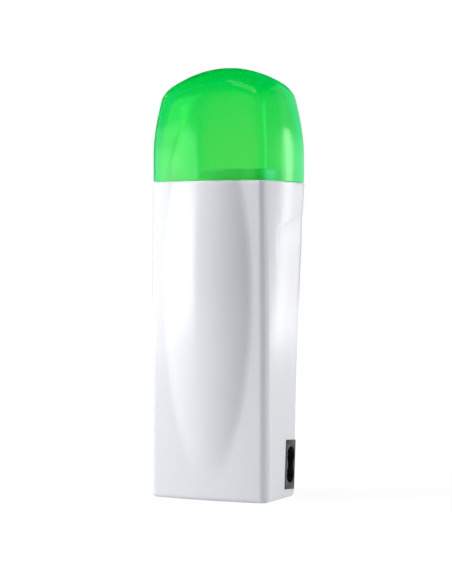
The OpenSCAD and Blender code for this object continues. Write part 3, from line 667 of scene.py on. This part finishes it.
# Up the deck's outer edge and the neck, over its rounded top, and down to the step that holds the
# well's flange
TOP = HOUSING_H + NECK_H
like = neck_ring(0, NECK_INSET + NECK_WALL)
step_z = HOUSING_H - FLANGE_T - GASKET_T
rings = [level_ring(HOUSING_H - DECK_T, SHELL_WALL + FIT), level_ring(HOUSING_H - 0.2, SHELL_WALL + FIT),
         neck_ring(HOUSING_H, NECK_INSET + 0.02), neck_ring(TOP - 0.4, NECK_INSET),
         neck_ring(TOP - 0.1, NECK_INSET + 0.1), neck_ring(TOP, NECK_INSET + 0.4),
         neck_ring(TOP, NECK_INSET + NECK_WALL - 0.4), neck_ring(TOP - 0.4, NECK_INSET + NECK_WALL),
         neck_ring(HOUSING_H + 0.5, NECK_INSET + NECK_WALL),
         neck_ring(HOUSING_H, NECK_INSET + NECK_WALL + 0.5),
         well_ring(HOUSING_H, SLEEVE_T + FLANGE_W + FIT + 0.2, like),
         well_ring(HOUSING_H - 0.2, SLEEVE_T + FLANGE_W + FIT, like),
         well_ring(step_z, SLEEVE_T + FLANGE_W + FIT, like), well_ring(step_z, SLEEVE_T + FIT, like),
         well_ring(HOUSING_H - DECK_T, SLEEVE_T + FIT, like)]
collar = lofted("neck_ring", rings, closed=True)
smooth(collar, 35.0)

# The same ABS, left satin where the cap slides, with a grain of 0.8 mm. Its white is painted greyer than
# the housing's: painted shade for the dim light that reaches it inside the cap
# painted shade: this white is darker than the housing's and stands for the shade inside the cap
NECK_WHITE_PAINTED_SHADE = "#cdd0d3"
GRAINS_A_METRE = 1200.0
abs_satin, tree, output = new_material("satin_white_abs_painted_shade")
where = add_node(tree, "TexCoord")
fine = add_node(tree, "TexNoise", {"Vector": where.outputs["Object"], "Scale": GRAINS_A_METRE,
                                   "Detail": 3.0})
rough = add_node(tree, "MapRange", {"Value": fine.outputs["Fac"], "To Min": 0.45, "To Max": 0.55})
relief = add_node(tree, "Bump", {"Height": fine.outputs["Fac"], "Strength": 0.05, "Distance": 0.0005})
body = add_node(tree, "BsdfPrincipled", {
    "Base Color": linear(NECK_WHITE_PAINTED_SHADE), "Roughness": rough.outputs["Result"], "IOR": 1.52,
    "Normal": relief.outputs["Normal"]})
tree.links.new(body.outputs[0], output.inputs["Surface"])

collar.data.materials.clear()
collar.data.materials.append(abs_satin)
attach(collar, "housing")
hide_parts("neck_collar")


# ---- Inlet ----
# Black PBT moulding low on the right side: a bevelled plate just proud of the wall, and a block
# behind it with the figure-8 recess and a hole for each pin.
PLATE_T = 1.2
PLATE_PROUD = 0.3
PIN_PITCH = 8.6
PIN_HOLE_R = 1.05
RECESS_R = 4.1
RECESS_D = 12.0
BLOCK_D = 14.0
BLOCK_W = PLATE_W - 1.4
BLOCK_H = PLATE_H - 3.0
FACE_X = HOUSING_W / 2 + PLATE_PROUD
RECESS_X = FACE_X - RECESS_D
ROUGH_SPREAD = 0.08


def plain_material(name, colour, roughness, metallic=0.0, grain=(900.0, 900.0, 900.0), bump=0.05,
                   coat=0.0, tint=0.06):
    """A finish with a grain in its colour, its roughness and its surface. grain is how often it
    repeats in a metre along each axis: 900 is a grain of 1.1 mm, and a low number draws it out."""
    material, tree, output = new_material(name)
    where = add_node(tree, "TexCoord")
    turned = add_node(tree, "Mapping", {"Vector": where.outputs["Object"], "Scale": grain})
    noise = add_node(tree, "TexNoise", {"Vector": turned.outputs[0], "Scale": 1.0, "Detail": 3.0})
    base = linear(colour)
    dark = [c * (1 - tint) for c in base[:3]] + [1.0]
    shade = add_node(tree, "Mix", {"Factor": noise.outputs["Fac"]}, data_type="RGBA")
    shade.inputs[6].default_value = dark
    shade.inputs[7].default_value = base
    rough = add_node(tree, "MapRange", {"Value": noise.outputs["Fac"], "To Min": roughness - ROUGH_SPREAD,
                                        "To Max": roughness + ROUGH_SPREAD})
    relief = add_node(tree, "Bump", {"Height": noise.outputs["Fac"], "Strength": bump,
                                     "Distance": 0.0005})
    body = add_node(tree, "BsdfPrincipled", {
        "Base Color": shade.outputs[2], "Roughness": rough.outputs["Result"], "Metallic": metallic,
        "Coat Weight": coat, "Normal": relief.outputs["Normal"]})
    tree.links.new(body.outputs[0], output.inputs["Surface"])
    return material


def rod_along_x(radius, x0, x1, up):
    """A rod along X in line with one of the inlet's lobes. up is its place along the leaning plate."""
    deselect()
    bpy.ops.mesh.primitive_cylinder_add(vertices=64, radius=radius * MM, depth=(x1 - x0) * MM,
                                        rotation=(0, math.pi / 2, 0))
    rod = bpy.context.object
    bpy.ops.object.transform_apply(location=False, rotation=True, scale=False)
    rod.location = ((x0 + x1) / 2 * MM, (INLET_Y + up * math.sin(BACK_LEAN)) * MM,
                    (INLET_Z + up * math.cos(BACK_LEAN)) * MM)
    bpy.ops.object.transform_apply(location=True, rotation=False, scale=False)
    return rod


def bevel(piece, width, steps, angle=40.0):
    deselect()
    piece.select_set(True)
    bpy.context.view_layer.objects.active = piece
    edge = piece.modifiers.new("bevel", "BEVEL")
    edge.width = width * MM
    edge.segments = steps
    edge.limit_method = "ANGLE"
    edge.angle_limit = math.radians(angle)
    bpy.ops.object.modifier_apply(modifier=edge.name)


# Glass-filled PBT: black with a fine sandy grain of half a millimetre
black_pbt = plain_material("black_pbt_moulded", "#1f2124", 0.38, grain=(2200.0, 2200.0, 2200.0), tint=0.2)

inlet = inlet_box(PLATE_W, PLATE_H, FACE_X - PLATE_T, FACE_X)
inlet.name = "inlet_moulding"
block = inlet_box(BLOCK_W, BLOCK_H, HOUSING_W / 2 - BLOCK_D, FACE_X - PLATE_T / 2)
combine(inlet, block, "UNION")
for side in (-1, 1):
    lobe = rod_along_x(RECESS_R, RECESS_X, FACE_X + PAST, side * PIN_PITCH / 2)
    combine(inlet, lobe, "DIFFERENCE")
combine(inlet, inlet_box(1.5 * RECESS_R, PIN_PITCH, RECESS_X, FACE_X + PAST), "DIFFERENCE")
for side in (-1, 1):
    pin_hole = rod_along_x(PIN_HOLE_R, HOUSING_W / 2 - BLOCK_D - PAST, RECESS_X + PAST,
                           side * PIN_PITCH / 2)
    combine(inlet, pin_hole, "DIFFERENCE")
bevel(inlet, 0.2, 3)
smooth(inlet)
inlet.data.materials.clear()
inlet.data.materials.append(black_pbt)
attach(inlet, "housing")
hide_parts("inlet_body")


# ---- Metal and inner pieces ----
# The well, the heater, the wiring, the pins and the screws keep their CAD solids, which no view
# shows closely. Each takes the finish of its real material here: drawn and rolled metal has long
# streaks along its draw, plating is even, and the sleeving shows its weave.
drawn = plain_material("aluminium_deep_drawn", "#d3d6da", 0.3, 1.0, grain=(1500.0, 1500.0, 60.0))
extruded = plain_material("aluminium_extruded", "#cdd0d4", 0.35, 1.0, grain=(60.0, 1500.0, 1500.0))
rolled = plain_material("stainless_spring_steel_rolled", "#bfc2c6", 0.25, 1.0,
                        grain=(1500.0, 1500.0, 80.0))
zinc = plain_material("steel_zinc_plated", "#c3c6cb", 0.35, 1.0)
nickel = plain_material("brass_nickel_plated", "#d5d2c8", 0.22, 1.0)
brass = plain_material("brass_strip_rolled", "#c9a757", 0.3, 1.0, grain=(1200.0, 100.0, 100.0))
ceramic = plain_material("barium_titanate_ceramic_fired", "#7d5138", 0.7,
                         grain=(1800.0, 1800.0, 1800.0), tint=0.2)
film = plain_material("polyimide_film_cast", "#c27a1c", 0.2, grain=(200.0, 200.0, 200.0), coat=0.5)
mica = plain_material("mica_board_pressed", "#cdbf95", 0.6,
                      grain=(500.0, 120.0, 500.0), tint=0.25, bump=0.2)
silicone = plain_material("silicone_rubber_moulded", "#d2d8db", 0.55)
heat_plastic = plain_material("pbt_moulded", "#e2dfd5", 0.5)
woven = plain_material("fibreglass_sleeving_woven", "#eae4d4", 0.75,
                       grain=(2500.0, 2500.0, 2500.0), tint=0.3, bump=0.4)
brown = plain_material("silicone_insulation_brown", "#6b3f22", 0.45)
blue = plain_material("silicone_insulation_blue", "#2c4f97", 0.45)
nylon = plain_material("nylon_moulded", "#ededea", 0.45)
label = plain_material("label_film_satin", "#d9dce0", 0.4, grain=(1200.0, 1200.0, 1200.0))

FINISHES = {
    "cartridge_sleeve": drawn, "well_floor": heat_plastic, "sleeve_gasket": silicone,
    "retaining_spring": rolled,
    "spring_rivet": zinc, "heat_spreader": extruded, "ptc_element": ceramic, "electrode_live": brass,
    "electrode_neutral": brass, "insulating_film": film, "heater_clamp": zinc, "clamp_screws": zinc,
    "insulation_board": mica, "thermal_fuse": nickel, "fuse_sleeve": woven,
    "inlet_pins": nickel, "tab_sleeves": woven, "wire_live": brown, "wire_fused": brown,
    "wire_neutral": blue, "cable_tie": nylon, "housing_screws": zinc, "rating_label": label,
}
for name, finish in FINISHES.items():
    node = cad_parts[name]
    node.data.materials.clear()
    node.data.materials.append(finish)
